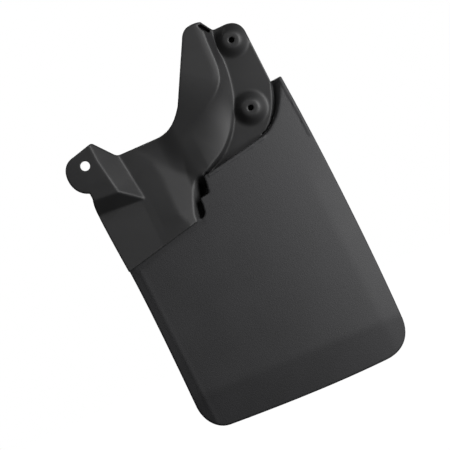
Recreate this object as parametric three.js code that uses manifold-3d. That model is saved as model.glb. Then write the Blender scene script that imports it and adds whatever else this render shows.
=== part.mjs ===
// Mud flap for the right-hand wheel of a pickup truck, in millimetres, +Z up.
// It hangs upright: +X is outboard, and the side that faces the road behind the wheel faces -Y.
//
// Two mouldings overlap. The mounting bracket carries a raised tab, a hollow hump and a screw
// plate with two bosses; the flap panel hangs from it. Left of the open notch the panel's tongue
// lies behind the bracket's apron, and right of it the panel lies in front of the bracket's skirt.
// Six screws driven from behind hold the two together.
//
// Shapes are drawn in design axes: x across from the tab's end, z up from the lowest point, and
// "rise" towards the front (-Y), measured from the back of the screw plate.

import * as THREE from 'three';
import { mergeVertices } from 'three/addons/utils/BufferGeometryUtils.js';
import Module from 'manifold-3d';

const wasm = await Module();
wasm.setup();

// ---- driving dimensions ----

const WALL = 3;
const PLATE_RISE = 3;
const LOW_RISE = 5.5;
const APRON_RISE = 17;
const APRON_LENGTH = 74;
const APRON_LEAN = 0.08;
const TAB_RISE = 28;
const HUMP_RISE = 25;
const POCKET_RISE = -3;
const SKIRT_RISE = 6;
const PANEL_RISE = 14;
const PANEL_BOW = 12;
const LIP_RISE = -2;
const LAP_GAP = 0.6;

const BRACKET_FLANGE_RISE = -3;
const PANEL_FLANGE_RISE = -22;
const SMALL_FLANGE_RISE = 0;
const FLANGE_WALL = 2.6;

const FINE_STEP = 5;
const COARSE_STEP = 6;
const PANEL_STEP = 13;
const WALL_STEP = 2.6;

const TAB_HOLE = { x: 21.6, z: 295.4, radius: 4.6 };
const BOSS_HEIGHT = 9;
const BOSS_TOP_RADIUS = 10;
const BOSS_FOOT_RADIUS = 14;
const BOSS_HOLE_RADIUS = 2.7;
const BOSS_SKIN = 1;
const BOSSES = [{ x: 200.3, z: 340 }, { x: 187.5, z: 274 }];

const SCREW_SHANK_RADIUS = 1.85;
const SCREW_SHANK_LENGTH = 5;
const SCREW_FLANGE_RADIUS = 6;
const SCREW_HEAD_RADIUS = 3.8;
const SCREW_GAP = 0.25;
const STUD_RADIUS = 4.2;
const STUD_CLEARANCE = 0.4;
const TONGUE_SCREWS = [{ x: 30, z: 198 }, { x: 54, z: 202 }, { x: 76, z: 205.5 }];
const SKIRT_SCREWS = [{ x: 134, z: 223 }, { x: 153, z: 225.5 }, { x: 172, z: 227.8 }];

// ---- small helpers ----

const clamp = (value, low, high) => Math.min(Math.max(value, low), high);
const mix = (a, b, t) => a + (b - a) * t;

function smooth(low, high, value) {
  const t = clamp((value - low) / (high - low), 0, 1);
  return t * t * (3 - 2 * t);
}

// The larger of two heights, with the corner between them rounded over a width of k.
function softMax(a, b, k) {
  const t = clamp(0.5 + (a - b) / (2 * k), 0, 1);
  return mix(b, a, t) + k * t * (1 - t);
}

const softMin = (a, b, k) => -softMax(-a, -b, k);

// A polyline through the given points, smoothed, for measuring distances.
function smoothLine(points, count) {
  const curve = new THREE.SplineCurve(points.map(([x, z]) => new THREE.Vector2(x, z)));
  return curve.getPoints(count);
}

// Distance from (x, z) to a line: positive on the line's left-hand side as it is walked.
function sideDistance(line, x, z) {
  let best = Infinity;
  let side = 1;
  for (let i = 0; i + 1 < line.length; i += 1) {
    const a = line[i];
    const dx = line[i + 1].x - a.x;
    const dz = line[i + 1].y - a.y;
    const t = clamp(((x - a.x) * dx + (z - a.y) * dz) / (dx * dx + dz * dz), 0, 1);
    const ex = x - a.x - t * dx;
    const ez = z - a.y - t * dz;
    const distance = Math.hypot(ex, ez);
    if (distance < best - 1e-9) {
      best = distance;
      side = dx * ez - dz * ex >= 0 ? 1 : -1;
    }
  }
  return best * side;
}

// ---- the bracket's front surface ----

// Lower edge of the apron, where it lies over the panel.
const seam = (x) => 184.3 + 0.168 * x;

// Foot and crest of the hump's outer side, both walked from the top down.
const humpFoot = smoothLine(
  [[192, 380], [185, 345], [183.5, 318], [176, 288], [163, 265], [145, 249], [121, 236], [116, 180]], 60);
const humpCrest = smoothLine(
  [[182, 380], [179.5, 348], [176.5, 318], [166.5, 303], [146, 291], [122, 282], [111, 264], [105, 244],
    [101, 180]], 60);

// The wall that drops from the bracket into the open notch, walked from the bottom up.
const notchWall = smoothLine([[94, 186], [93.5, 203], [96, 213], [105, 232], [112, 238], [122, 235.5]], 40);

// Top face of the hump: it grows out of the low web and climbs along the arm.
function humpTop(x, z) {
  const along = (x - 88) * 0.658 + (z - 262) * 0.752;
  const side = 4 * smooth(92, 114, x) * smooth(238, 278, z);
  return LOW_RISE + side + (HUMP_RISE - LOW_RISE - side) * smooth(10, 110, along);
}

// Apron and web: the surface leans forward towards the seam and the left edge, and a ridge
// crosses its right side.
function apronRise(x, z) {
  const fall = clamp((z - seam(x)) / APRON_LENGTH, 0, 1);
  const lean = APRON_LEAN * Math.max(54 - x, 0) * (1 - smooth(0.7, 1, fall));
  const base = APRON_RISE - (APRON_RISE - LOW_RISE) * fall + lean;
  const below = clamp(267 - z, 0, 52);
  const ridgeX = 85 + 0.112 * below;
  const ridge = Math.max(LOW_RISE + 0.21 * below, base);
  const left = mix(base, ridge, clamp((x - 62) / (ridgeX - 62), 0, 1.3));
  const facet = LOW_RISE + 0.24 * (0.826 * (84 - x) + 0.563 * (267 - z)) + 0.045 * below;
  return softMax(softMin(left, facet, 1.5), humpTop(x, z), 1);
}

// The wedge that lifts the tab: its right face slopes down to the web, its lower face is steep.
function tabLift(x, z) {
  const foldX = 34.5 + 0.13 * clamp(295 - z, 0, 50);
  const footX = 54 + 0.09 * (288 - z);
  const height = TAB_RISE - LOW_RISE - 0.12 * clamp(277 - z, 0, 15);
  const right = height * (footX - x) / (footX - foldX);
  const lower = (z - (247.5 - 0.12 * (x - 12))) * 1.4;
  return clamp(Math.min(right, lower), 0, height);
}

function bracketRise(x, z) {
  const foot = sideDistance(humpFoot, x, z);
  const crest = sideDistance(humpCrest, x, z);
  let rise = apronRise(x, z) + tabLift(x, z);
  if (foot >= 0) rise = PLATE_RISE;
  else if (crest > 0) rise = mix(PLATE_RISE, rise, -foot / (crest - foot));
  const skirt = mix(POCKET_RISE, SKIRT_RISE, smooth(116, 126, x));
  const notch = sideDistance(notchWall, x, z);
  const top = 239 + 0.1 * (x - 130);
  const behindPanel = x > 120 ? clamp((top - z) / 6, 0, 1) : clamp(-notch / 5, 0, 1);
  return mix(rise, skirt, behindPanel);
}

// ---- the panel's front surface ----

// Crest and foot of the wall that turns back beside the screw plate, walked from the top down.
// At its foot a narrow lip passes behind the plate.
const wallCrest = smoothLine([[226, 292], [221.5, 278], [210, 260.5], [200, 252], [190, 246.2], [180, 244]], 30);
const wallFoot = smoothLine([[218.3, 292], [213, 274.5], [205, 260], [197, 251.5], [190, 247.6], [180, 245.4]], 30);

function panelRise(x, z) {
  const bow = PANEL_BOW * (Math.max(x - 60, 0) / 170) ** 3 * (1 - 0.25 * smooth(230, 285, z));
  const lower = 0.19 * softMax(50 - 0.08 * (x - 25) - z, 0, 4);
  const leftSide = 0.16 * softMax(23 - x, 0, 2);
  const rightSide = 0.12 * softMax(x - 208, 0, 4) * (1 - smooth(140, 230, z));
  let rise = PANEL_RISE - bow - lower - leftSide - rightSide;
  if (z > 240 && x > 184) {
    const foot = sideDistance(wallFoot, x, z);
    const crest = sideDistance(wallCrest, x, z);
    if (crest < 0) rise = mix(rise, LIP_RISE, clamp(-crest / (-crest + Math.max(foot, 0.01)), 0, 1));
  }
  const underApron = APRON_RISE - (APRON_RISE - LOW_RISE) * clamp((z - seam(x)) / APRON_LENGTH, 0, 1);
  if (x < 100 && z > seam(x) - 8) rise = Math.min(rise, underApron - WALL - LAP_GAP);
  return rise;
}

// ---- outlines ----

function bracketOutline() {
  const shape = new THREE.Shape();
  shape.moveTo(13.5, 270);
  shape.bezierCurveTo(5, 273.5, 0.7, 281, 0.7, 290);
  shape.bezierCurveTo(0.7, 299, 5, 305.5, 12, 307.5);
  shape.lineTo(34, 312);
  shape.quadraticCurveTo(36.8, 312.4, 38, 310.5);
  shape.lineTo(51, 293.2);
  shape.quadraticCurveTo(53, 290.8, 56, 290.6);
  shape.lineTo(94, 288.5);
  shape.bezierCurveTo(107, 288, 116, 294, 126, 307);
  shape.lineTo(157.5, 360);
  shape.bezierCurveTo(161, 367, 165, 370, 171, 370);
  shape.quadraticCurveTo(177, 370.2, 181.5, 368.3);
  shape.lineTo(188, 358);
  shape.quadraticCurveTo(189, 356.5, 191, 356.5);
  shape.lineTo(200, 356.3);
  shape.bezierCurveTo(210, 356, 216, 350, 216, 341);
  shape.lineTo(216, 289);
  shape.bezierCurveTo(213.6, 278.6, 204, 255.6, 190, 248.6);
  shape.lineTo(184.6, 247.6);
  shape.lineTo(184.4, 245.6);
  shape.lineTo(181, 245);
  shape.lineTo(181, 218);
  shape.lineTo(122, 210);
  shape.lineTo(100, 193);
  shape.lineTo(96.4, 192);
  shape.lineTo(95.2, seam(95.2) + 1.2);
  shape.lineTo(93, seam(93));
  shape.lineTo(13, seam(13));
  shape.bezierCurveTo(12, 210, 11, 235, 11.2, 250);
  shape.quadraticCurveTo(11.4, 258, 13.6, 264);
  shape.closePath();
  return shape;
}

function panelOutline() {
  const shape = new THREE.Shape();
  shape.moveTo(33, 13);
  shape.bezierCurveTo(80, 7.5, 140, 1.5, 195, 0.5);
  shape.bezierCurveTo(212, 0.2, 224, 10, 226, 28);
  shape.bezierCurveTo(229.5, 90, 230.6, 200, 227, 286.5);
  shape.quadraticCurveTo(226.9, 288.2, 225.8, 288.2);
  shape.lineTo(213.5, 288.2);
  shape.bezierCurveTo(211, 280, 202, 258, 189, 251.3);
  shape.lineTo(184.9, 250.4);
  shape.lineTo(184.9, 245);
  shape.quadraticCurveTo(152, 239.8, 120, 236.2);
  shape.quadraticCurveTo(117, 235.8, 117.6, 231);
  shape.lineTo(115.2, 219.6);
  shape.lineTo(105.5, 218.6);
  shape.lineTo(103.8, 206);
  shape.quadraticCurveTo(103, 202, 98, 200.6);
  shape.lineTo(94, 199.7);
  shape.lineTo(83.5, 197.9);
  shape.lineTo(82.5, 212);
  shape.lineTo(18.5, 201);
  shape.lineTo(17.5, 188.8);
  shape.lineTo(13.5, 188.4);
  shape.bezierCurveTo(14.9, 150, 13.2, 80, 12, 42);
  shape.bezierCurveTo(12, 28, 20, 15, 33, 13);
  shape.closePath();
  return shape;
}

// ---- turning outlines and surfaces into solids ----

// A shape drawn in (x, z) becomes a prism that runs along Y, from one rise to another.
function prism(shape, lowRise, highRise, curveSegments = 5) {
  const options = { depth: highRise - lowRise, bevelEnabled: false, curveSegments };
  const geometry = new THREE.ExtrudeGeometry(shape, options);
  geometry.rotateX(Math.PI / 2);
  geometry.translate(0, -lowRise, 0);
  return solid(geometry);
}

function solid(geometry) {
  const plain = geometry.index ? geometry.toNonIndexed() : geometry;
  plain.deleteAttribute('normal');
  plain.deleteAttribute('uv');
  const merged = mergeVertices(plain, 1e-4);
  const vertProperties = new Float32Array(merged.attributes.position.array);
  const triVerts = new Uint32Array(merged.index.array);
  return new wasm.Manifold(new wasm.Mesh({ numProp: 3, vertProperties, triVerts }));
}

// Evenly spaced grid lines, the last one included.
function lines(from, to, step) {
  const count = Math.ceil((to - from) / step);
  return Array.from({ length: count + 1 }, (_, i) => mix(from, to, i / count));
}

// A slab on a grid of x lines and z lines, between two height functions.
function slab(grid, front, back) {
  const columns = grid.x.length - 1;
  const rows = grid.z.length - 1;
  const positions = [];
  const triangles = [];
  for (const surface of [front, back]) {
    for (const z of grid.z) {
      for (const x of grid.x) positions.push(x, -surface(x, z), z);
    }
  }
  const width = columns + 1;
  const layer = width * (rows + 1);
  const quad = (a, b, c, d) => triangles.push(a, b, c, a, c, d);
  for (let row = 0; row < rows; row += 1) {
    for (let column = 0; column < columns; column += 1) {
      const a = row * width + column;
      quad(a, a + 1, a + width + 1, a + width);
      quad(layer + a, layer + a + width, layer + a + width + 1, layer + a + 1);
    }
  }
  const wall = (a, b) => quad(b, a, a + layer, b + layer);
  for (let column = 0; column < columns; column += 1) {
    wall(column, column + 1);
    wall(rows * width + column + 1, rows * width + column);
  }
  for (let row = 0; row < rows; row += 1) {
    wall((row + 1) * width, row * width);
    wall(row * width + columns, (row + 1) * width + columns);
  }
  const vertProperties = new Float32Array(positions);
  const triVerts = new Uint32Array(triangles);
  return new wasm.Manifold(new wasm.Mesh({ numProp: 3, vertProperties, triVerts }));
}

// The back of a wall whose front is given: steep places are deeper along Y, so the wall
// keeps its thickness.
function behind(front, thickness) {
  return (x, z) => {
    const slopeX = (front(x + 1, z) - front(x - 1, z)) / 2;
    const slopeZ = (front(x, z + 1) - front(x, z - 1)) / 2;
    const stretch = Math.min(Math.sqrt(1 + slopeX * slopeX + slopeZ * slopeZ), 3);
    return front(x, z) - thickness * stretch;
  };
}

// A wall of the given width just inside an outline, between two of its points: one short prism
// for each side of the outline, all joined.
function edgeWall(outline, from, to, width) {
  const points = outline.getPoints(5).slice(0, -1);
  const count = points.length;
  const nearest = (target) => {
    const distances = points.map((point) => Math.hypot(point.x - target[0], point.y - target[1]));
    return distances.indexOf(Math.min(...distances));
  };
  const turn = THREE.ShapeUtils.isClockWise(points) ? width : -width;
  const inset = (point, a, b) => {
    const length = Math.hypot(b.x - a.x, b.y - a.y);
    return new THREE.Vector2(point.x + turn * (b.y - a.y) / length, point.y - turn * (b.x - a.x) / length);
  };
  const walls = [];
  const last = nearest(to);
  for (let i = nearest(from); i !== last; i = (i + 1) % count) {
    const [before, a, b, after] = [-1, 0, 1, 2].map((step) => points[(i + step + count) % count]);
    let innerA = inset(a, before, b);
    let innerB = inset(b, a, after);
    const along = (innerB.x - innerA.x) * (b.x - a.x) + (innerB.y - innerA.y) * (b.y - a.y);
    if (along <= 0.2 * ((b.x - a.x) ** 2 + (b.y - a.y) ** 2)) {
      innerA = inset(a, a, b);
      innerB = inset(b, a, b);
    }
    walls.push(prism(new THREE.Shape([a, b, innerB, innerA]), -60, 60));
  }
  return walls.reduce((whole, wall) => whole.add(wall));
}

function cylinder(x, z, lowRise, highRise, lowRadius, highRadius, segments = 24) {
  const geometry = new THREE.CylinderGeometry(lowRadius, highRadius, highRise - lowRise, segments);
  geometry.translate(x, -(lowRise + highRise) / 2, z);
  return solid(geometry);
}

function block(x0, x1, z0, z1, lowRise, highRise) {
  const geometry = new THREE.BoxGeometry(x1 - x0, highRise - lowRise, z1 - z0);
  geometry.translate((x0 + x1) / 2, -(lowRise + highRise) / 2, (z0 + z1) / 2);
  return solid(geometry);
}

function place(manifold, name, material) {
  const mesh = manifold.getMesh();
  const geometry = new THREE.BufferGeometry();
  geometry.setAttribute('position', new THREE.BufferAttribute(new Float32Array(mesh.vertProperties), 3));
  geometry.setIndex(new THREE.BufferAttribute(new Uint32Array(mesh.triVerts), 1));
  geometry.computeVertexNormals();
  const result = new THREE.Mesh(geometry, material);
  result.name = name;
  return result;
}

// ---- the bracket ----

function buildBracket(material) {
  const grid = {
    x: [...lines(-2, 28, COARSE_STEP), ...lines(33, 65, 4), ...lines(70, 86, COARSE_STEP),
      ...lines(89, 125, 3), ...lines(131, 220, COARSE_STEP)],
    z: [...lines(183, 243, FINE_STEP), ...lines(247, 267, 4), ...lines(272, 373, COARSE_STEP)],
  };
  const outline = bracketOutline();
  const back = behind(bracketRise, WALL);
  let body = slab(grid, bracketRise, back).intersect(prism(outline, -60, 60));

  const deep = slab(grid, bracketRise, (x, z) => Math.min(back(x, z), BRACKET_FLANGE_RISE));
  const rims = [
    edgeWall(outline, [38, 310.5], [188, 358], FLANGE_WALL),
    edgeWall(outline, [12.4, 200.7], [13.5, 270], FLANGE_WALL),
  ];
  for (const rim of rims) body = body.add(deep.intersect(rim));

  const ribs = [block(60, 62.2, 262, 291, -1, 40), block(104, 106.2, 252, 289, -1, 40),
    block(128, 170, 318, 320.2, -1, 40), block(142, 176, 344, 346.2, -1, 40),
    block(118, 120.2, 258, 295, -1, 40)];
  for (const rib of ribs) body = body.add(deep.intersect(prism(outline, -60, 60)).intersect(rib));

  // Each boss is a hollow cone around a tube; a thin skin closes its hole at the back.
  for (const { x, z } of BOSSES) {
    const top = PLATE_RISE + BOSS_HEIGHT;
    body = body.add(cylinder(x, z, 0, top, BOSS_FOOT_RADIUS + 1.2, BOSS_TOP_RADIUS));
    body = body.subtract(cylinder(x, z, -1, top - WALL, BOSS_FOOT_RADIUS - 1.8, BOSS_TOP_RADIUS - 2));
    body = body.add(cylinder(x, z, 0, top - WALL + 0.5, BOSS_HOLE_RADIUS + 2, BOSS_HOLE_RADIUS + 2));
    body = body.subtract(cylinder(x, z, BOSS_SKIN, top + 5, BOSS_HOLE_RADIUS, BOSS_HOLE_RADIUS));
  }
  body = body.subtract(cylinder(TAB_HOLE.x, TAB_HOLE.z, 0, 60, TAB_HOLE.radius, TAB_HOLE.radius));

  for (const { x, z } of TONGUE_SCREWS) {
    const face = tongueBack(x, z);
    body = body.add(cylinder(x, z, face, bracketRise(x, z) - 1, STUD_RADIUS, STUD_RADIUS));
    body = body.subtract(cylinder(x, z, face - 1, face + SCREW_SHANK_LENGTH + 0.4,
      SCREW_SHANK_RADIUS + SCREW_GAP, SCREW_SHANK_RADIUS + SCREW_GAP, 16));
  }
  for (const { x, z } of SKIRT_SCREWS) {
    const hole = STUD_RADIUS + STUD_CLEARANCE;
    body = body.subtract(cylinder(x, z, -5, 20, hole, hole));
  }
  return place(body, 'mounting_bracket', material);
}

// Level of the screws' seats: just behind the lapped wall.
const tongueBack = (x, z) => panelRise(x, z) - WALL - 1;
const skirtBack = () => SKIRT_RISE - WALL - 0.3;

// ---- the panel ----

function panelFlangeRise(x, z) {
  const side = smooth(150, 222, x);
  const taper = smooth(10, 90, z) * (1 - 0.75 * smooth(225, 288, z));
  return mix(SMALL_FLANGE_RISE, PANEL_FLANGE_RISE, side * taper);
}

function buildPanel(material) {
  const grid = {
    x: [...lines(8, 28, FINE_STEP), ...lines(40, 181, PANEL_STEP), ...lines(184.5, 232, WALL_STEP)],
    z: [...lines(-3, 54, PANEL_STEP), ...lines(66, 180, PANEL_STEP), ...lines(186, 241, FINE_STEP),
      ...lines(243.4, 291, WALL_STEP)],
  };
  const outline = panelOutline();
  const back = behind(panelRise, WALL);
  let body = slab(grid, panelRise, back).intersect(prism(outline, -60, 60));

  const rim = edgeWall(outline, [13.5, 188.4], [226.9, 287], FLANGE_WALL);
  const deep = slab(grid, panelRise, (x, z) => Math.min(back(x, z), panelFlangeRise(x, z)));
  body = body.add(deep.intersect(rim));

  const ribbed = slab(grid, panelRise, (x, z) => back(x, z) - 5);
  for (const x of [52, 92, 132, 172]) {
    const rib = block(x, x + 2, 14 - 0.05 * x, 178, -60, 60);
    body = body.add(ribbed.intersect(rib));
  }
  for (const z of [60, 120, 178]) body = body.add(ribbed.intersect(block(16, 222, z, z + 2, -60, 60)));

  for (const { x, z } of SKIRT_SCREWS) {
    const face = skirtBack();
    body = body.add(cylinder(x, z, face, panelRise(x, z) - 1, STUD_RADIUS, STUD_RADIUS));
    body = body.subtract(cylinder(x, z, face - 1, face + SCREW_SHANK_LENGTH + 0.4,
      SCREW_SHANK_RADIUS + SCREW_GAP, SCREW_SHANK_RADIUS + SCREW_GAP, 16));
  }
  for (const { x, z } of TONGUE_SCREWS) {
    const hole = STUD_RADIUS + STUD_CLEARANCE;
    body = body.subtract(cylinder(x, z, 0, 20, hole, hole));
  }
  return place(body, 'flap_panel', material);
}

// ---- the joining screws ----

// Flanged pan-head screw, turned about its axis, with a hexagonal socket; it points to the front.
function buildScrew(name, { x, z }, seat, material) {
  const profile = [
    [0, -SCREW_SHANK_LENGTH], [SCREW_SHANK_RADIUS - 0.5, -SCREW_SHANK_LENGTH],
    [SCREW_SHANK_RADIUS, -SCREW_SHANK_LENGTH + 0.8], [SCREW_SHANK_RADIUS, 0],
    [SCREW_FLANGE_RADIUS, 0], [SCREW_FLANGE_RADIUS, 0.7], [SCREW_HEAD_RADIUS + 0.4, 1.1],
    [SCREW_HEAD_RADIUS, 2.2], [SCREW_HEAD_RADIUS - 1, 3], [0, 3],
  ];
  const points = profile.map(([radius, height]) => new THREE.Vector2(radius, height));
  const turned = new THREE.LatheGeometry(points, 14);
  const socket = new THREE.CylinderGeometry(1.7, 1.7, 4, 6);
  socket.translate(0, 3.5, 0);
  const body = solid(turned).subtract(solid(socket));
  const mesh = place(body, name, material);
  mesh.position.set(x, -(seat - SCREW_GAP), z);
  return mesh;
}

// ---- the whole flap ----

const bracketPlastic = new THREE.MeshStandardMaterial({ color: 0x2b2b2d, roughness: 0.5, metalness: 0 });
const panelPlastic = new THREE.MeshStandardMaterial({ color: 0x2a2a2c, roughness: 0.65, metalness: 0 });
const screwSteel = new THREE.MeshStandardMaterial({ color: 0x8a8c90, roughness: 0.35, metalness: 1 });

const flap = new THREE.Group();
flap.add(buildBracket(bracketPlastic));
flap.add(buildPanel(panelPlastic));
const seats = [
  ...TONGUE_SCREWS.map((spot) => ({ spot, seat: tongueBack(spot.x, spot.z) })),
  ...SKIRT_SCREWS.map((spot) => ({ spot, seat: skirtBack() })),
];
seats.forEach(({ spot, seat }, i) => flap.add(buildScrew(`joining_screw_${i + 1}`, spot, seat, screwSteel)));

// The origin is the centre of the whole flap's box.
flap.updateMatrixWorld(true);
const centre = new THREE.Box3().setFromObject(flap, true).getCenter(new THREE.Vector3());
flap.position.sub(centre);

export default flap;
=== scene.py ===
"""Looks for the mud flap: fine moulded surfaces, plastic and steel materials, soft studio light.

Shapes are drawn in the design's own axes, in millimetres: x across from the tab's end, z up from
the lowest point, and "rise" towards the front (-Y), measured from the back of the screw plate.
Each moulding is one surface, drawn around a distance field on a grid.
"""
import math

import bpy
import numpy as np
from mathutils import Matrix, Vector


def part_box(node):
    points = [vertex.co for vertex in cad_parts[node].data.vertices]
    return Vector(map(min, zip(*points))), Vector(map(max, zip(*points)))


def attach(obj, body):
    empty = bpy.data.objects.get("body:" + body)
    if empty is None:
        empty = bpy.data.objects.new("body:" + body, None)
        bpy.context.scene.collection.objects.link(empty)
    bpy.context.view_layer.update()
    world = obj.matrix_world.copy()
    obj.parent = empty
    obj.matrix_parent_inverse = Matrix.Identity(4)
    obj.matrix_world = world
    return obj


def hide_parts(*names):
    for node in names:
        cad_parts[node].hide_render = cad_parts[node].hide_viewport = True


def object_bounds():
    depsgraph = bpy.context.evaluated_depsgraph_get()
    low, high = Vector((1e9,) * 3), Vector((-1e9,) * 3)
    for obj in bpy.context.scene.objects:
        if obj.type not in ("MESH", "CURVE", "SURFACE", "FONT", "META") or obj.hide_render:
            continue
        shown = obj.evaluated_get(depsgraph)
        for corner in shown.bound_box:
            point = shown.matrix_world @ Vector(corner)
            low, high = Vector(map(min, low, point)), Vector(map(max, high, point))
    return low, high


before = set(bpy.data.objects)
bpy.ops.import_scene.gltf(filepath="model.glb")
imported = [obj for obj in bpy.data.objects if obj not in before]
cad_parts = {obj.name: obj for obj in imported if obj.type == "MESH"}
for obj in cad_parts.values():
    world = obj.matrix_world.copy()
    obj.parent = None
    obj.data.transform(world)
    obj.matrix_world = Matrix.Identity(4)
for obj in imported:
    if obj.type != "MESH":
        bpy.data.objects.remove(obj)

CAD_LOW, CAD_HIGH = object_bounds()
MM = 0.001

# ---- sizes, in millimetres ----

LOWEST_X = 0.7
LOWEST_Z = 0.5
HIGHEST_RISE = 28.25

WALL = 3.0
RIM_WALL = 2.6
PLATE_RISE = 3.0
PLATE_TILT = 0.07
LOW_RISE = 5.5
APRON_RISE = 17.0
APRON_LENGTH = 74.0
APRON_TILT = 0.08
TILT_FROM_X = 54
VALLEY_X = 62
RIDGE_HEAD_X = 85
RIDGE_HEAD_Z = 267
RIDGE_LENGTH = 52
RIDGE_LEAN = 0.112
RIDGE_GRADE = 0.21
FACET_EDGE_X = 84
FACET_GRADE = 0.24
FACET_LIFT = 0.045
TAB_RISE = 28.0
HUMP_RISE = 25.0
POCKET_RISE = -3.0
SKIRT_RISE = 6.0
NOTCH_WALL_WIDTH = 10.5
PANEL_RISE = 14.0
PANEL_BOW = 12.0
LIP_RISE = -2.0
FOOT_LEDGE = 0.16
FOOT_BEAD = 0.2
FOOT_BEAD_WIDTH = 1.2
CREST_ROLL = 0.017
CREST_ROLL_WIDTH = 8.0
LAP_GAP = 0.6
BRACKET_BACK = -3.0
PANEL_BACK = -22.0
BORDER_BACK = 0.0

TAB_HOLE = (21.6, 295.4, 4.6)
BOSSES = ((200.3, 340.0), (187.5, 274.0))
BOSS_HEIGHT = 9.0
BOSS_TOP = 6.5
BOSS_FOOT = 18.0
BOSS_HOLE = 2.7
BOSS_SKIN = 1.0
STUD = 4.2
STUD_GAP = 0.4
PILOT = 2.1
SCREW_LENGTH = 5.0
TONGUE_SCREWS = ((30.0, 198.0), (54.0, 202.0), (76.0, 205.5))
SKIRT_SCREWS = ((134.0, 223.0), (153.0, 225.5), (172.0, 227.8))

# Each of the bracket's ribs as x from, x to, z from, z to.
BRACKET_RIBS = ((60, 62.2, 262, 291), (104, 106.2, 252, 289), (118, 120.2, 258, 295),
                (128, 170, 318, 320.2), (142, 176, 344, 346.2))
PANEL_RIBS_UP = (52, 92, 132, 172)
PANEL_RIBS_ACROSS = (60, 120, 178)
PANEL_RIB_WIDTH = 2
PANEL_RIB_DEPTH = 5
RIB_COVER = 1.5
RIB_EDGE = 0.5
RIB_FILLET = 1.2
STUD_FILLET = 0.7

BRACKET_EDGE = 1.0
PANEL_EDGE = 1.3
HOLLOW_EDGE = 1.2
NO_LIMIT = -60
BEYOND_FRONT = 40
CLEARANCE_REACH = 20

BRACKET_VOXEL = 1.0
PANEL_VOXEL = 1.25
RELIEF_SOFTNESS = 0.9


# ---- arithmetic on arrays ----

def clamp(value, low, high):
    return np.minimum(np.maximum(value, low), high)


def mix(a, b, t):
    return a + (b - a) * t


def smooth(low, high, value):
    t = clamp((value - low) / (high - low), 0, 1)
    return t * t * (3 - 2 * t)


def soft_max(a, b, k):
    t = clamp(0.5 + (a - b) / (2 * k), 0, 1)
    return mix(b, a, t) + k * t * (1 - t)


def soft_min(a, b, k):
    return -soft_max(-a, -b, k)


def meet(a, b, radius):
    """Where two solids overlap, with the outer edge between them rounded."""
    corner = np.hypot(np.maximum(a + radius, 0), np.maximum(b + radius, 0))
    return np.minimum(np.maximum(a, b), -radius) + corner


def join(a, b, radius):
    """Two solids together, with a fillet in the inner corner between them."""
    return -meet(-a, -b, radius)


def cut(a, tool, radius):
    """The first solid without the second, with the edge of the cut rounded."""
    return meet(a, -tool, radius)


# ---- curves and outlines ----

def spline(points, count):
    """A uniform Catmull-Rom curve through the points."""
    p = np.array(points, float)
    p = np.vstack([2 * p[0] - p[1], p, 2 * p[-1] - p[-2]])
    place = np.linspace(0, len(points) - 1, count)
    first = np.minimum(place.astype(int), len(points) - 2)
    t = (place - first)[:, None]
    a, b, c, d = (p[first + k] for k in range(4))
    return 0.5 * (2 * b + (c - a) * t + (2 * a - 5 * b + 4 * c - d) * t ** 2
                  + (3 * b - a - 3 * c + d) * t ** 3)


class Outline:
    """A closed outline drawn with straight lines and Bezier curves."""

    def __init__(self, x, z):
        self.points = [(x, z)]

    def line(self, x, z):
        self.points.append((x, z))

    def curve(self, *control, count=12):
        """A Bezier curve of any degree from the last point through its control points."""
        chain = [self.points[-1], *control]
        degree = len(chain) - 1
        for t in np.linspace(0, 1, count + 1)[1:]:
            weights = [math.comb(degree, k) * t ** k * (1 - t) ** (degree - k) for k in range(degree + 1)]
            self.points.append(tuple(sum(w * p[axis] for w, p in zip(weights, chain)) for axis in (0, 1)))

    def distance(self, x, z):
        """Signed distance from the outline: negative inside."""
        p = np.array(self.points)
        best = np.full(np.broadcast(x, z).shape, np.inf)
        inside = np.zeros(best.shape, bool)
        for (ax, az), (bx, bz) in zip(p, np.roll(p, -1, axis=0)):
            dx, dz = bx - ax, bz - az
            if dx * dx + dz * dz < 1e-12:
                continue
            t = clamp(((x - ax) * dx + (z - az) * dz) / (dx * dx + dz * dz), 0, 1)
            best = np.minimum(best, np.hypot(x - ax - t * dx, z - az - t * dz))
            if az != bz:
                crosses = (az > z) != (bz > z)
                inside ^= crosses & (x < dx * (z - az) / dz + ax)
        return np.where(inside, -best, best)


def side_distance(line, x, z):
    """Distance from an open line: positive on its left-hand side as it is walked."""
    best = np.full(np.broadcast(x, z).shape, np.inf)
    side = np.ones(best.shape)
    for (ax, az), (bx, bz) in zip(line[:-1], line[1:]):
        dx, dz = bx - ax, bz - az
        t = clamp(((x - ax) * dx + (z - az) * dz) / (dx * dx + dz * dz), 0, 1)
        ex = x - ax - t * dx
        ez = z - az - t * dz
        distance = np.hypot(ex, ez)
        nearer = distance < best - 1e-9
        side = np.where(nearer, np.where(dx * ez - dz * ex >= 0, 1.0, -1.0), side)
        best = np.where(nearer, distance, best)
    return best * side


# ---- the bracket's front surface ----

HUMP_FOOT = spline([(192, 380), (185, 345), (183.5, 318), (176, 288), (163.5, 265), (148, 249.5),
                    (134, 242), (124, 237.2), (119, 231), (116, 180)], 70)
HUMP_CREST = spline([(182, 380), (179.5, 348), (176.5, 318), (166.5, 303), (146, 291), (122, 282),
                     (111, 264), (105, 244), (101, 180)], 60)
NOTCH_WALL = spline([(94, 186), (93.5, 203), (96, 213), (105, 232), (112, 238), (122, 235.5)], 40)


def seam(x):
    """Lower edge of the apron, where it lies over the panel."""
    return 184.3 + 0.168 * x


def hump_top(x, z):
    """The hump's upper face, which climbs from the apron towards its top corner."""
    along = (x - 88) * 0.658 + (z - 262) * 0.752
    side = 4 * smooth(92, 114, x) * smooth(238, 278, z)
    return LOW_RISE + side + (HUMP_RISE - LOW_RISE - side) * smooth(5, 92, along)


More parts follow.
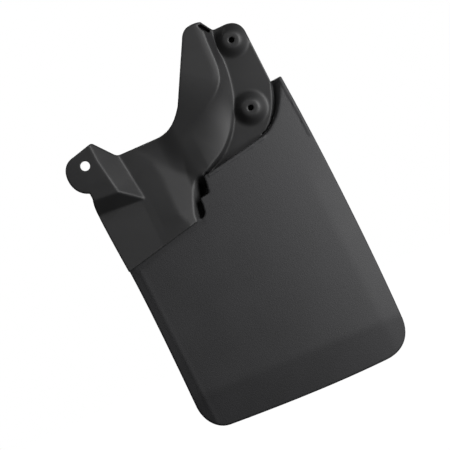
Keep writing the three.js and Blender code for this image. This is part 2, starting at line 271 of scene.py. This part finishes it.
def apron_fall(x, z):
    """How far up the apron a place is: 0 at the seam and 1 where the apron ends."""
    return clamp((z - seam(x)) / APRON_LENGTH, 0, 1)


def apron_rise(x, z):
    """The apron and its two facets, which meet along a ridge, with the hump beside them."""
    fall = apron_fall(x, z)
    base = APRON_RISE - (APRON_RISE - LOW_RISE) * fall
    base = base + APRON_TILT * np.maximum(TILT_FROM_X - x, 0) * (1 - smooth(0.7, 1, fall))
    below = clamp(RIDGE_HEAD_Z - z, 0, RIDGE_LENGTH)
    ridge_x = RIDGE_HEAD_X + RIDGE_LEAN * below
    ridge = np.maximum(LOW_RISE + RIDGE_GRADE * below, base)
    left = mix(base, ridge, clamp((x - VALLEY_X) / (ridge_x - VALLEY_X), 0, 1.3))
    downhill = 0.826 * (FACET_EDGE_X - x) + 0.563 * (RIDGE_HEAD_Z - z)
    facet = LOW_RISE + FACET_GRADE * downhill
    facet = facet + FACET_LIFT * below
    return soft_max(soft_min(left, facet, 0.6), hump_top(x, z), 1)


def tab_lift(x, z):
    """The tab's raised block: flat on top, with a slope to its right and one below it."""
    fold_x = 34.5 + 0.13 * clamp(295 - z, 0, 50)
    foot_x = 54 + 0.09 * (288 - z)
    height = TAB_RISE - LOW_RISE - 0.12 * clamp(277 - z, 0, 15)
    right = height * (foot_x - x) / (foot_x - fold_x)
    lower = (z - (247.5 - 0.12 * (x - 12))) * 1.4
    return clamp(np.minimum(right, lower), 0, height)


def boss_rise(x, z):
    """Two round bosses with soft flanks."""
    rise = 0
    for bx, bz in BOSSES:
        radius = np.hypot(x - bx, z - bz)
        rise = np.maximum(rise, BOSS_HEIGHT * (1 - smooth(BOSS_TOP, BOSS_FOOT, radius)))
    return rise


def bracket_rise(x, z):
    """The bracket's front: the raised part, the hump's wall, the screw plate and the hidden skirt."""
    foot = side_distance(HUMP_FOOT, x, z)
    crest = side_distance(HUMP_CREST, x, z)
    raised = apron_rise(x, z) + tab_lift(x, z)
    slope = clamp(-foot / np.maximum(crest - foot, 1e-6), 0, 1)
    ledge = FOOT_LEDGE * clamp(176 - x, 0, 50) * smooth(0, 1.6, -foot)
    rise = np.where(crest > 0, mix(PLATE_RISE + ledge, raised, slope), raised)
    rise = np.where(foot >= 0, PLATE_RISE + PLATE_TILT * (x - 185), rise)
    roll = clamp(CREST_ROLL_WIDTH + crest, 0, CREST_ROLL_WIDTH) * smooth(298, 318, z)
    rise = rise - CREST_ROLL * roll ** 2 * np.where(crest > 0, 1 - slope, 1) * (foot < 0)
    bead = FOOT_BEAD * smooth(280, 305, z)
    rise = rise + bead * np.exp(-(foot / FOOT_BEAD_WIDTH) ** 2) + boss_rise(x, z)
    skirt = mix(POCKET_RISE, SKIRT_RISE, smooth(116, 126, x))
    notch = side_distance(NOTCH_WALL, x, z)
    top = 239 + 0.1 * (x - 130)
    hidden = np.where(x > 120, clamp((top - z) / 6, 0, 1), clamp(-notch / NOTCH_WALL_WIDTH, 0, 1))
    return mix(rise, skirt, hidden)


# ---- the panel's front surface ----

WALL_CREST = spline([(226, 292), (221.5, 278), (210, 260.5), (200, 252), (190, 246.2), (180, 244)], 30)
WALL_FOOT = spline([(218.3, 292), (213, 274.5), (205, 260), (197, 251.5), (190, 247.6), (180, 245.4)], 30)


def panel_rise(x, z):
    """The panel's front: the dished face, its bands, the outer strip's wall and the lapped edge."""
    bow = PANEL_BOW * (np.maximum(x - 60, 0) / 170) ** 3 * (1 - 0.25 * smooth(230, 285, z))
    lower = 0.19 * soft_max(50 - 0.08 * (x - 25) - z, 0, 4)
    left = 0.16 * soft_max(23 - x, 0, 2) - 0.3 * np.exp(-((x - 23) / 1.6) ** 2) * (z < 186)
    right = 0.12 * soft_max(x - 208, 0, 4) * (1 - smooth(140, 230, z))
    rise = PANEL_RISE - bow - lower - left - right
    foot = side_distance(WALL_FOOT, x, z)
    crest = side_distance(WALL_CREST, x, z)
    down = clamp(-crest / np.maximum(-crest + np.maximum(foot, 0.01), 1e-6), 0, 1)
    rise = np.where((z > 240) & (x > 184) & (crest < 0), mix(rise, LIP_RISE, down), rise)
    under = APRON_RISE - (APRON_RISE - LOW_RISE) * apron_fall(x, z)
    lapped = smooth(-8, -2, z - seam(x)) * (1 - smooth(95, 101, x))
    return mix(rise, np.minimum(rise, under - WALL - LAP_GAP), lapped)


# ---- outlines ----

def bracket_outline():
    shape = Outline(13.5, 270)
    shape.curve((5, 273.5), (0.7, 281), (0.7, 290))
    shape.curve((0.7, 299), (5, 305.5), (12, 307.5))
    shape.line(34, 312)
    shape.curve((36.8, 312.4), (38, 310.5), count=6)
    shape.line(51, 293.2)
    shape.curve((53, 290.8), (56, 290.6), count=6)
    shape.line(94, 288.5)
    shape.curve((107, 288), (116, 294), (126, 307))
    shape.line(157.5, 360)
    shape.curve((161, 367), (165, 370), (171, 370))
    shape.curve((177, 370.2), (181.5, 368.3))
    shape.line(188, 358)
    shape.curve((189, 356.5), (191, 356.5), count=6)
    shape.line(200, 356.3)
    shape.curve((210, 356), (216, 350), (216, 341))
    shape.line(216, 289)
    shape.curve((213.6, 278.6), (204, 255.6), (190, 248.0))
    shape.line(186, 247.2)
    shape.line(185.6, 243.4)
    shape.line(181, 242.4)
    shape.line(181, 218)
    shape.line(122, 210)
    shape.line(100, 193)
    shape.line(96.4, 192)
    shape.line(95.2, seam(95.2) + 1.2)
    shape.line(93, seam(93))
    shape.line(13, seam(13))
    shape.curve((12, 210), (11, 235), (11.2, 250))
    shape.curve((11.4, 258), (13.6, 264), count=6)
    return shape


def panel_outline():
    shape = Outline(33, 13)
    shape.curve((80, 7.5), (140, 1.5), (195, 0.5))
    shape.curve((212, 0.2), (224, 10), (226, 28))
    shape.curve((229.5, 90), (230.6, 200), (227, 286.5), count=20)
    shape.curve((226.9, 288.2), (225.8, 288.2), count=4)
    shape.line(213.5, 288.2)
    shape.curve((211, 280), (202, 258), (189, 251.3))
    shape.line(184.9, 250.4)
    shape.line(184.9, 245)
    shape.curve((152, 239.8), (120, 236.2))
    shape.curve((117, 235.8), (117.6, 231), count=6)
    shape.line(115.2, 219.6)
    shape.line(105.5, 218.6)
    shape.line(103.8, 206)
    shape.curve((103, 202), (98, 200.6), count=6)
    shape.line(96.4, 201.4)
    shape.line(95, 202.8)
    shape.line(91, 203)
    shape.line(83.5, 201.4)
    shape.line(82.5, 212)
    shape.line(18.5, 201)
    shape.line(17.5, 188.8)
    shape.line(13.5, 188.4)
    shape.curve((14.9, 150), (13.2, 80), (12, 42))
    shape.curve((12, 28), (20, 15), (33, 13))
    return shape


# ---- reliefs: a moulding's front surface and edge, looked up quickly ----

def blur(grid, cells):
    """Softens a grid with a small bell-shaped kernel along both of its axes."""
    reach = int(3 * cells)
    weights = np.exp(-0.5 * (np.arange(-reach, reach + 1) / cells) ** 2)
    weights /= weights.sum()
    for axis in (0, 1):
        padding = [(reach, reach) if a == axis else (0, 0) for a in (0, 1)]
        padded = np.pad(grid, padding, mode="edge")
        length = grid.shape[axis]
        grid = sum(w * np.take(padded, np.arange(k, k + length), axis=axis)
                   for k, w in enumerate(weights))
    return grid


class Relief:
    """The rise, steepness and edge distance of one moulding, sampled every half millimetre."""

    STEP = 0.5

    def __init__(self, outline, rise, low, high, softness):
        self.low = np.array(low, float)
        x = np.arange(low[0], high[0] + self.STEP, self.STEP)[:, None]
        z = np.arange(low[1], high[1] + self.STEP, self.STEP)[None, :]
        front = blur(rise(x, z), softness / self.STEP)
        slope_x, slope_z = np.gradient(front, self.STEP)
        steepness = np.minimum(np.sqrt(1 + slope_x ** 2 + slope_z ** 2), 3.5)
        self.layers = np.stack([front, steepness, outline.distance(x, z)])

    def at(self, x, z):
        shape = np.broadcast(x, z).shape
        u = np.broadcast_to((x - self.low[0]) / self.STEP, shape)
        v = np.broadcast_to((z - self.low[1]) / self.STEP, shape)
        i = clamp(u.astype(int), 0, self.layers.shape[1] - 2)
        j = clamp(v.astype(int), 0, self.layers.shape[2] - 2)
        s, t = u - i, v - j
        layers = self.layers
        return (layers[:, i, j] * (1 - s) * (1 - t) + layers[:, i + 1, j] * s * (1 - t)
                + layers[:, i, j + 1] * (1 - s) * t + layers[:, i + 1, j + 1] * s * t)


def cylinder(x, r, z, centre, radius, low, high):
    """Distance field of a cylinder that runs along the rise axis."""
    side = np.hypot(x - centre[0], z - centre[1]) - radius
    return np.maximum(side, np.maximum(r - high, low - r))


def slab_between(value, low, high):
    return np.maximum(low - value, value - high)


BRACKET = Relief(bracket_outline(), bracket_rise, low=(-6, 178), high=(222, 378),
                 softness=RELIEF_SOFTNESS)
PANEL = Relief(panel_outline(), panel_rise, low=(4, -8), high=(238, 296), softness=RELIEF_SOFTNESS)


def corner_pocket():
    """A deep pocket at the hump's top corner, beside its outer wall."""
    shape = Outline(177.4, 366.8)
    shape.line(180.9, 366.2)
    shape.line(186.2, 357.8)
    shape.line(184.4, 355.6)
    shape.line(179, 361.5)
    return shape


CORNER_POCKET = corner_pocket()


def tongue_back(x, z):
    """Where the screws' flanges seat behind the panel's tongue."""
    return float(panel_rise(np.array(x), np.array(z))) - WALL - 1


SKIRT_BACK = SKIRT_RISE - WALL - 0.3


def bracket_field(x, r, z):
    """Distance field of the mounting bracket: negative inside the plastic."""
    front, steepness, edge = BRACKET.at(x, z)
    above = (r - front) / steepness
    outer = meet(above, edge, BRACKET_EDGE)
    rimmed = ((x < 22) & (z > 200) & (z < 268)) | ((x > 37) & (x < 184) & (z > 262))
    flat = np.where((x > 187) & (z > 240), r, NO_LIMIT)
    rim = np.where(rimmed, RIM_WALL, NO_LIMIT)
    hollow = meet(np.maximum(above + WALL, flat), edge + rim, HOLLOW_EDGE)
    body = cut(outer, hollow, 0.5)
    body = meet(body, BRACKET_BACK - 3.2 - r, 0.6)
    body = np.where(rimmed, meet(body, BRACKET_BACK - r, 0.6), body)

    under = np.maximum(above + RIB_COVER, edge + 1)
    for x0, x1, z0, z1 in BRACKET_RIBS:
        rib = np.maximum(slab_between(x, x0, x1), slab_between(z, z0, z1))
        rib = meet(np.maximum(rib, under), BRACKET_BACK + 2 - r, RIB_EDGE)
        body = join(body, rib, RIB_FILLET)

    for bx, bz in BOSSES:
        tube = cylinder(x, r, z, (bx, bz), BOSS_HOLE + 2, -BOSS_SKIN, PLATE_RISE + BOSS_HEIGHT - 1)
        body = join(body, tube, 0.8)
        hole = cylinder(x, r, z, (bx, bz), BOSS_HOLE, BOSS_SKIN, BEYOND_FRONT)
        body = cut(body, hole, 0.5)
    hole = np.hypot(x - TAB_HOLE[0], z - TAB_HOLE[1]) - TAB_HOLE[2]
    body = cut(body, hole, 0.3)

    corner = CORNER_POCKET.distance(x, z)
    cup = np.maximum(np.maximum(corner - 1.6, above + 0.4), np.maximum(edge + 0.3, BRACKET_BACK - r))
    body = cut(join(body, cup, 0.4), np.maximum(corner, -r), 0.4)

    for sx, sz in TONGUE_SCREWS:
        seat = tongue_back(sx, sz)
        post = cylinder(x, r, z, (sx, sz), STUD, seat, BEYOND_FRONT)
        body = join(body, np.maximum(post, above + RIB_COVER), STUD_FILLET)
        hole = cylinder(x, r, z, (sx, sz), PILOT, seat - 5, seat + SCREW_LENGTH + 0.4)
        body = cut(body, hole, 0.2)
    for spot in SKIRT_SCREWS:
        room = cylinder(x, r, z, spot, STUD + STUD_GAP, -CLEARANCE_REACH, CLEARANCE_REACH)
        body = cut(body, room, 0.3)
    return body


def panel_back(x, z):
    """How far back the panel's turned borders reach."""
    side = smooth(150, 222, x)
    taper = smooth(10, 90, z) * (1 - 0.75 * smooth(225, 288, z))
    return mix(BORDER_BACK, PANEL_BACK, side * taper)


def panel_field(x, r, z):
    """Distance field of the flap panel: negative inside the plastic."""
    front, steepness, edge = PANEL.at(x, z)
    above = (r - front) / steepness
    outer = meet(above, edge, PANEL_EDGE)
    rimmed = (z < 150) | ((x < 50) & (z < 186.5)) | (x > 218.5)
    rim = np.where(rimmed, RIM_WALL, NO_LIMIT)
    hollow = meet(above + WALL, edge + rim, HOLLOW_EDGE)
    body = cut(outer, hollow, 0.5)
    body = meet(body, np.minimum(panel_back(x, z), front - WALL - 2) - r, 0.6)

    lip = np.maximum(slab_between(edge, -3.2, -0.6), slab_between(r - front, -1, 0.7))
    lip = np.maximum(lip, np.maximum(122 - x, 225 - z))
    body = join(body, lip, 0.8)

    under = np.maximum(above + RIB_COVER, -above - WALL - PANEL_RIB_DEPTH)
    for rib_x in PANEL_RIBS_UP:
        width = slab_between(x, rib_x, rib_x + PANEL_RIB_WIDTH)
        rib = np.maximum(width, slab_between(z, 14 - 0.05 * rib_x, 178))
        body = join(body, meet(rib, under, RIB_EDGE), RIB_FILLET)
    for rib_z in PANEL_RIBS_ACROSS:
        width = slab_between(z, rib_z, rib_z + PANEL_RIB_WIDTH)
        rib = np.maximum(width, slab_between(x, 15, 225))
        body = join(body, meet(rib, under, RIB_EDGE), RIB_FILLET)

    for sx, sz in SKIRT_SCREWS:
        post = cylinder(x, r, z, (sx, sz), STUD, SKIRT_BACK, BEYOND_FRONT)
        body = join(body, np.maximum(post, above + RIB_COVER), STUD_FILLET)
        hole = cylinder(x, r, z, (sx, sz), PILOT, SKIRT_BACK - 5, SKIRT_BACK + SCREW_LENGTH + 0.4)
        body = cut(body, hole, 0.2)
    for spot in TONGUE_SCREWS:
        room = cylinder(x, r, z, spot, STUD + STUD_GAP, -CLEARANCE_REACH, CLEARANCE_REACH)
        body = cut(body, room, 0.3)
    return body


# ---- a distance field becomes a mesh ----

SETTLE_ROUNDS = 3
GRADIENT_STEP = 0.15
LONGEST_MOVE = 0.25


def surface(field, low, high, step):
    """Points and four-sided faces of the field's zero surface (surface nets on a grid)."""
    axes = [np.arange(a, b + step, step) for a, b in zip(low, high)]
    values = field(axes[0][:, None, None], axes[1][None, :, None], axes[2][None, None, :])
    values = np.broadcast_to(values, [len(a) for a in axes])
    inside = values < 0
    cells = tuple(n - 1 for n in values.shape)

    def corner(grid, dx, dy, dz):
        return grid[dx:dx + cells[0], dy:dy + cells[1], dz:dz + cells[2]]

    corners = [(dx, dy, dz) for dx in (0, 1) for dy in (0, 1) for dz in (0, 1)]
    count_inside = sum(corner(inside, *c).astype(np.int8) for c in corners)
    active = (count_inside > 0) & (count_inside < 8)
    where = np.argwhere(active)
    index = np.full(cells, -1)
    index[active] = np.arange(len(where))

    total = np.zeros((len(where), 3))
    crossings = np.zeros(len(where))
    for a in corners:
        for axis in range(3):
            if a[axis]:
                continue
            b = tuple(v + (k == axis) for k, v in enumerate(a))
            va = values[tuple((where + a).T)]
            vb = values[tuple((where + b).T)]
            crossed = (va < 0) != (vb < 0)
            t = np.where(crossed, va / np.where(crossed, va - vb, 1), 0)
            point = np.array(a, float) + t[:, None] * (np.array(b) - np.array(a))
            total += np.where(crossed[:, None], point, 0)
            crossings += crossed
    points = (where + total / crossings[:, None]) * step + np.array([a[0] for a in axes])

    faces = []
    for axis in range(3):
        u, v = [k for k in range(3) if k != axis]
        low_side = [slice(None)] * 3
        high_side = [slice(None)] * 3
        low_side[axis] = slice(0, -1)
        high_side[axis] = slice(1, None)
        flip = inside[tuple(low_side)] != inside[tuple(high_side)]
        edges = np.argwhere(flip)
        edges = edges[(edges[:, u] > 0) & (edges[:, v] > 0)]
        edges = edges[(edges[:, u] < cells[u]) & (edges[:, v] < cells[v])]
        ring = []
        for du, dv in ((1, 1), (0, 1), (0, 0), (1, 0)):
            cell = edges.copy()
            cell[:, u] -= du
            cell[:, v] -= dv
            ring.append(index[tuple(cell.T)])
        quads = np.stack(ring, axis=1)
        starts_inside = inside[tuple(edges.T)]
        keep = starts_inside if axis == 1 else ~starts_inside
        quads[~keep] = quads[~keep][:, ::-1]
        faces.append(quads)
    return settle(field, points, step), np.concatenate(faces)


def settle(field, points, step):
    """Moves the points onto the zero surface along the field's gradient."""
    for _ in range(SETTLE_ROUNDS):
        value = field(*points.T)
        gradient = np.zeros_like(points)
        for axis in range(3):
            ahead, back = points.copy(), points.copy()
            ahead[:, axis] += GRADIENT_STEP
            back[:, axis] -= GRADIENT_STEP
            gradient[:, axis] = (field(*ahead.T) - field(*back.T)) / (2 * GRADIENT_STEP)
        size = np.maximum((gradient ** 2).sum(axis=1), 0.25)
        move = -(value / size)[:, None] * gradient
        length = np.maximum(np.linalg.norm(move, axis=1), 1e-9)
        move *= np.minimum(1, LONGEST_MOVE * step / length)[:, None]
        points = points + move
    return points


def to_frame(points):
    """Design axes in millimetres to the frame's metres."""
    x, rise, z = points.T
    return np.stack([CAD_LOW.x + (x - LOWEST_X) * MM, CAD_LOW.y + (HIGHEST_RISE - rise) * MM,
                     CAD_LOW.z + (z - LOWEST_Z) * MM], axis=1)


def make_object(name, points, faces, material, node):
    """A smooth piece from points in the frame's metres, standing for one CAD node."""
    mesh = bpy.data.meshes.new(name)
    mesh.from_pydata(points.tolist(), [], faces)
    mesh.validate()
    mesh.polygons.foreach_set("use_smooth", [True] * len(mesh.polygons))
    mesh.materials.append(material)
    mesh.update()
    piece = bpy.data.objects.new(name, mesh)
    bpy.context.scene.collection.objects.link(piece)
    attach(piece, "root")
    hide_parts(node)


# ---- materials ----

def node_material(name):
    material = bpy.data.materials.new(name)
    material.use_nodes = True
    return material, material.node_tree.nodes, material.node_tree.links


def moulded_plastic(name, colour, roughness, grain_scale, grain_depth):
    """Black moulded plastic: a fine cell-like grain, faint clouds of tint and gloss, and sharp convex
    edges painted paler as a highlight.
    """
    material, nodes, links = node_material(name)
    shader = nodes["Principled BSDF"]
    place = nodes.new("ShaderNodeTexCoord")

    clouds = nodes.new("ShaderNodeTexNoise")
    clouds.inputs["Scale"].default_value = 22
    clouds.inputs["Detail"].default_value = 4
    links.new(place.outputs["Object"], clouds.inputs["Vector"])

    tint = nodes.new("ShaderNodeValToRGB")
    tint.color_ramp.elements[0].position = 0.35
    tint.color_ramp.elements[1].position = 0.7
    tint.color_ramp.elements[0].color = (*[0.9 * c for c in colour], 1)
    tint.color_ramp.elements[1].color = (*[1.12 * c for c in colour], 1)
    links.new(clouds.outputs["Fac"], tint.inputs["Fac"])

    grain = nodes.new("ShaderNodeTexVoronoi")
    grain.feature = "SMOOTH_F1"
    grain.inputs["Scale"].default_value = grain_scale
    grain.inputs["Smoothness"].default_value = 0.6
    links.new(place.outputs["Object"], grain.inputs["Vector"])
    fine = nodes.new("ShaderNodeTexNoise")
    fine.inputs["Scale"].default_value = grain_scale * 1.7
    fine.inputs["Detail"].default_value = 3
    links.new(place.outputs["Object"], fine.inputs["Vector"])
    relief = nodes.new("ShaderNodeMath")
    relief.operation = "ADD"
    links.new(grain.outputs["Distance"], relief.inputs[0])
    links.new(fine.outputs["Fac"], relief.inputs[1])

    bump = nodes.new("ShaderNodeBump")
    bump.inputs["Strength"].default_value = 0.6
    bump.inputs["Distance"].default_value = grain_depth
    links.new(relief.outputs["Value"], bump.inputs["Height"])
    links.new(bump.outputs["Normal"], shader.inputs["Normal"])

    # Painted highlight: sharp convex edges, found by their pointiness, are mixed towards a paler colour
    # as if they caught the light.
    surface_geometry = nodes.new("ShaderNodeNewGeometry")
    edge = nodes.new("ShaderNodeMapRange")
    edge.inputs["From Min"].default_value = 0.5
    edge.inputs["From Max"].default_value = 0.62
    edge.inputs["To Max"].default_value = 0.12
    links.new(surface_geometry.outputs["Pointiness"], edge.inputs["Value"])
    edge_highlight_paint = nodes.new("ShaderNodeMixRGB")
    edge_highlight_paint.inputs["Color2"].default_value = (*[2.4 * c for c in colour], 1)
    links.new(edge.outputs["Result"], edge_highlight_paint.inputs["Fac"])
    links.new(tint.outputs["Color"], edge_highlight_paint.inputs["Color1"])
    links.new(edge_highlight_paint.outputs["Color"], shader.inputs["Base Color"])

    gloss = nodes.new("ShaderNodeMapRange")
    gloss.inputs["To Min"].default_value = roughness - 0.05
    gloss.inputs["To Max"].default_value = roughness + 0.07
    links.new(clouds.outputs["Fac"], gloss.inputs["Value"])
    links.new(gloss.outputs["Result"], shader.inputs["Roughness"])
    shader.inputs["IOR"].default_value = 1.5
    return material


def plated_steel(name):
    """Zinc-plated steel: bright, with a patchy tint and a slightly uneven gloss."""
    material, nodes, links = node_material(name)
    shader = nodes["Principled BSDF"]
    shader.inputs["Metallic"].default_value = 1
    place = nodes.new("ShaderNodeTexCoord")
    patches = nodes.new("ShaderNodeTexNoise")
    patches.inputs["Scale"].default_value = 260
    patches.inputs["Detail"].default_value = 5
    links.new(place.outputs["Object"], patches.inputs["Vector"])
    tint = nodes.new("ShaderNodeValToRGB")
    tint.color_ramp.elements[0].color = (0.30, 0.31, 0.33, 1)
    tint.color_ramp.elements[1].color = (0.52, 0.51, 0.47, 1)
    links.new(patches.outputs["Fac"], tint.inputs["Fac"])
    links.new(tint.outputs["Color"], shader.inputs["Base Color"])
    gloss = nodes.new("ShaderNodeMapRange")
    gloss.inputs["To Min"].default_value = 0.28
    gloss.inputs["To Max"].default_value = 0.5
    links.new(patches.outputs["Fac"], gloss.inputs["Value"])
    links.new(gloss.outputs["Result"], shader.inputs["Roughness"])
    bump = nodes.new("ShaderNodeBump")
    bump.inputs["Strength"].default_value = 0.3
    bump.inputs["Distance"].default_value = 0.00005
    links.new(patches.outputs["Fac"], bump.inputs["Height"])
    links.new(bump.outputs["Normal"], shader.inputs["Normal"])
    return material


BRACKET_PLASTIC = moulded_plastic("bracket_plastic", (0.0145, 0.0145, 0.015), 0.55, 1500, 0.00006)
PANEL_PLASTIC = moulded_plastic("panel_plastic", (0.0195, 0.0195, 0.021), 0.68, 950, 0.00016)
SCREW_STEEL = plated_steel("screw_steel")

# ---- the mouldings ----

points, faces = surface(bracket_field, low=(-3, -10, 182), high=(219, 31, 373), step=BRACKET_VOXEL)
make_object("mounting_bracket_surface", to_frame(points), faces.tolist(), BRACKET_PLASTIC,
            "mounting_bracket")

points, faces = surface(panel_field, low=(9, -25, -3), high=(233, 18, 291), step=PANEL_VOXEL)
make_object("flap_panel_surface", to_frame(points), faces.tolist(), PANEL_PLASTIC,
            "flap_panel")

# ---- the screws ----

SCREW_SIDES = 48
SCREW_HEAD_HEIGHT = 3.0
SOCKET_RADIUS = 1.7
SOCKET_DEPTH = 1.5
SCREW_PROFILE = [(1.2, -5), (1.45, -4.9), (1.85, -4.2), (1.85, -0.15), (2.0, 0), (5.85, 0),
                 (6.0, 0.15), (6.0, 0.55), (5.85, 0.72), (4.4, 1.05), (4.05, 1.25), (3.85, 1.6),
                 (3.8, 2.2), (3.6, 2.65), (3.15, 2.93), (2.8, SCREW_HEAD_HEIGHT)]


def turned_screw():
    """Points and faces of a flanged screw with a six-sided socket, in millimetres, its axis along Y."""
    angles = np.linspace(0, 2 * math.pi, SCREW_SIDES, endpoint=False)
    sixth = math.pi / 3
    socket = SOCKET_RADIUS * math.cos(sixth / 2) / np.cos(angles % sixth - sixth / 2)
    rings = [(np.full(SCREW_SIDES, radius), height) for radius, height in SCREW_PROFILE]
    rings.append((socket * 1.06, SCREW_HEAD_HEIGHT))
    rings.append((socket, SCREW_HEAD_HEIGHT - 0.12))
    rings.append((socket, SCREW_HEAD_HEIGHT - SOCKET_DEPTH))
    points = np.concatenate([np.stack([radius * np.cos(angles), np.full(SCREW_SIDES, height),
                                       radius * np.sin(angles)], axis=1) for radius, height in rings])
    faces = []
    for ring in range(len(rings) - 1):
        for side in range(SCREW_SIDES):
            a = ring * SCREW_SIDES + side
            b = ring * SCREW_SIDES + (side + 1) % SCREW_SIDES
            faces.append([a, a + SCREW_SIDES, b + SCREW_SIDES, b])
    last = (len(rings) - 1) * SCREW_SIDES
    faces.append(list(range(SCREW_SIDES)))
    faces.append(list(range(last + SCREW_SIDES - 1, last - 1, -1)))
    return points, faces


for name in sorted(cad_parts):
    if name.startswith("joining_screw"):
        low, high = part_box(name)
        seat = np.array([(low.x + high.x) / 2, high.y - SCREW_HEAD_HEIGHT * MM, (low.z + high.z) / 2])
        points, faces = turned_screw()
        make_object(name + "_turned", points * MM + seat, faces, SCREW_STEEL, name)

# ---- floor, light and camera ----

ROLL = math.radians(26.9)
CENTRE = (CAD_LOW + CAD_HIGH) / 2
FLOOR_DROP = 0.27
FLOOR_SIZE = 40
CAMERA_DISTANCE = 6.0
VIEW_SIDE = 0.43


def build_floor():
    """A pale floor below the hanging flap: bright to the camera, dark to the light that it bounces."""
    bpy.ops.mesh.primitive_plane_add(size=FLOOR_SIZE, location=(0, 0, CAD_LOW.z - FLOOR_DROP))
    floor = bpy.context.object
    floor.name = "floor"
    material, nodes, links = node_material("floor_paint")
    shader = nodes["Principled BSDF"]
    shader.inputs["Roughness"].default_value = 0.9
    grain = nodes.new("ShaderNodeTexNoise")
    grain.inputs["Scale"].default_value = 3
    tint = nodes.new("ShaderNodeValToRGB")
    tint.color_ramp.elements[0].color = (0.86, 0.86, 0.86, 1)
    tint.color_ramp.elements[1].color = (0.9, 0.9, 0.9, 1)
    links.new(grain.outputs["Fac"], tint.inputs["Fac"])
    rays = nodes.new("ShaderNodeLightPath")
    seen = nodes.new("ShaderNodeMixRGB")
    seen.inputs["Color1"].default_value = (0.05, 0.05, 0.05, 1)
    links.new(rays.outputs["Is Camera Ray"], seen.inputs["Fac"])
    links.new(tint.outputs["Color"], seen.inputs["Color2"])
    links.new(seen.outputs["Color"], shader.inputs["Base Color"])
    shader.inputs["Emission Color"].default_value = (1, 1, 1, 1)
    links.new(rays.outputs["Is Camera Ray"], shader.inputs["Emission Strength"])
    floor.data.materials.append(material)


def build_world():
    """White to the camera, and a dim even fill for the flap."""
    world = bpy.data.worlds.new("studio")
    world.use_nodes = True
    nodes, links = world.node_tree.nodes, world.node_tree.links
    background = nodes["Background"]
    background.inputs["Color"].default_value = (1, 1, 1, 1)
    rays = nodes.new("ShaderNodeLightPath")
    strength = nodes.new("ShaderNodeMapRange")
    strength.inputs["To Min"].default_value = 0.03
    strength.inputs["To Max"].default_value = 1.0
    links.new(rays.outputs["Is Camera Ray"], strength.inputs["Value"])
    links.new(strength.outputs["Result"], background.inputs["Strength"])
    bpy.context.scene.world = world


def softbox(name, offset, size, power):
    data = bpy.data.lights.new(name, "AREA")
    data.shape = "RECTANGLE"
    data.size, data.size_y = size
    data.energy = power
    light = bpy.data.objects.new(name, data)
    bpy.context.scene.collection.objects.link(light)
    light.location = CENTRE + Vector(offset)
    light.rotation_euler = (-Vector(offset)).to_track_quat("-Z", "Y").to_euler()


def build_camera():
    """Straight on to the front, rolled so that the flap leans to the left."""
    data = bpy.data.cameras.new("camera")
    data.lens = data.sensor_width * CAMERA_DISTANCE / VIEW_SIDE
    camera = bpy.data.objects.new("camera", data)
    bpy.context.scene.collection.objects.link(camera)
    right = Vector((math.cos(ROLL), 0, -math.sin(ROLL)))
    up = Vector((math.sin(ROLL), 0, math.cos(ROLL)))
    back = Vector((0, -1, 0))
    turn = Matrix((right, up, back)).transposed().to_4x4()
    camera.matrix_world = Matrix.Translation(CENTRE + back * CAMERA_DISTANCE) @ turn
    bpy.context.scene.camera = camera


build_floor()
build_world()
softbox("key_softbox", offset=(0.5, -0.42, 0.02), size=(0.3, 0.5), power=6.2)
softbox("fill_softbox", offset=(-0.4, -0.55, 0.75), size=(0.6, 0.6), power=2.0)
softbox("back_softbox", offset=(-0.6, 1.8, 1.2), size=(1.2, 1.2), power=80)
build_camera()
bpy.context.scene.view_settings.view_transform = "Standard"

# ---- the view layer is brought up to date ----

bpy.context.view_layer.update()
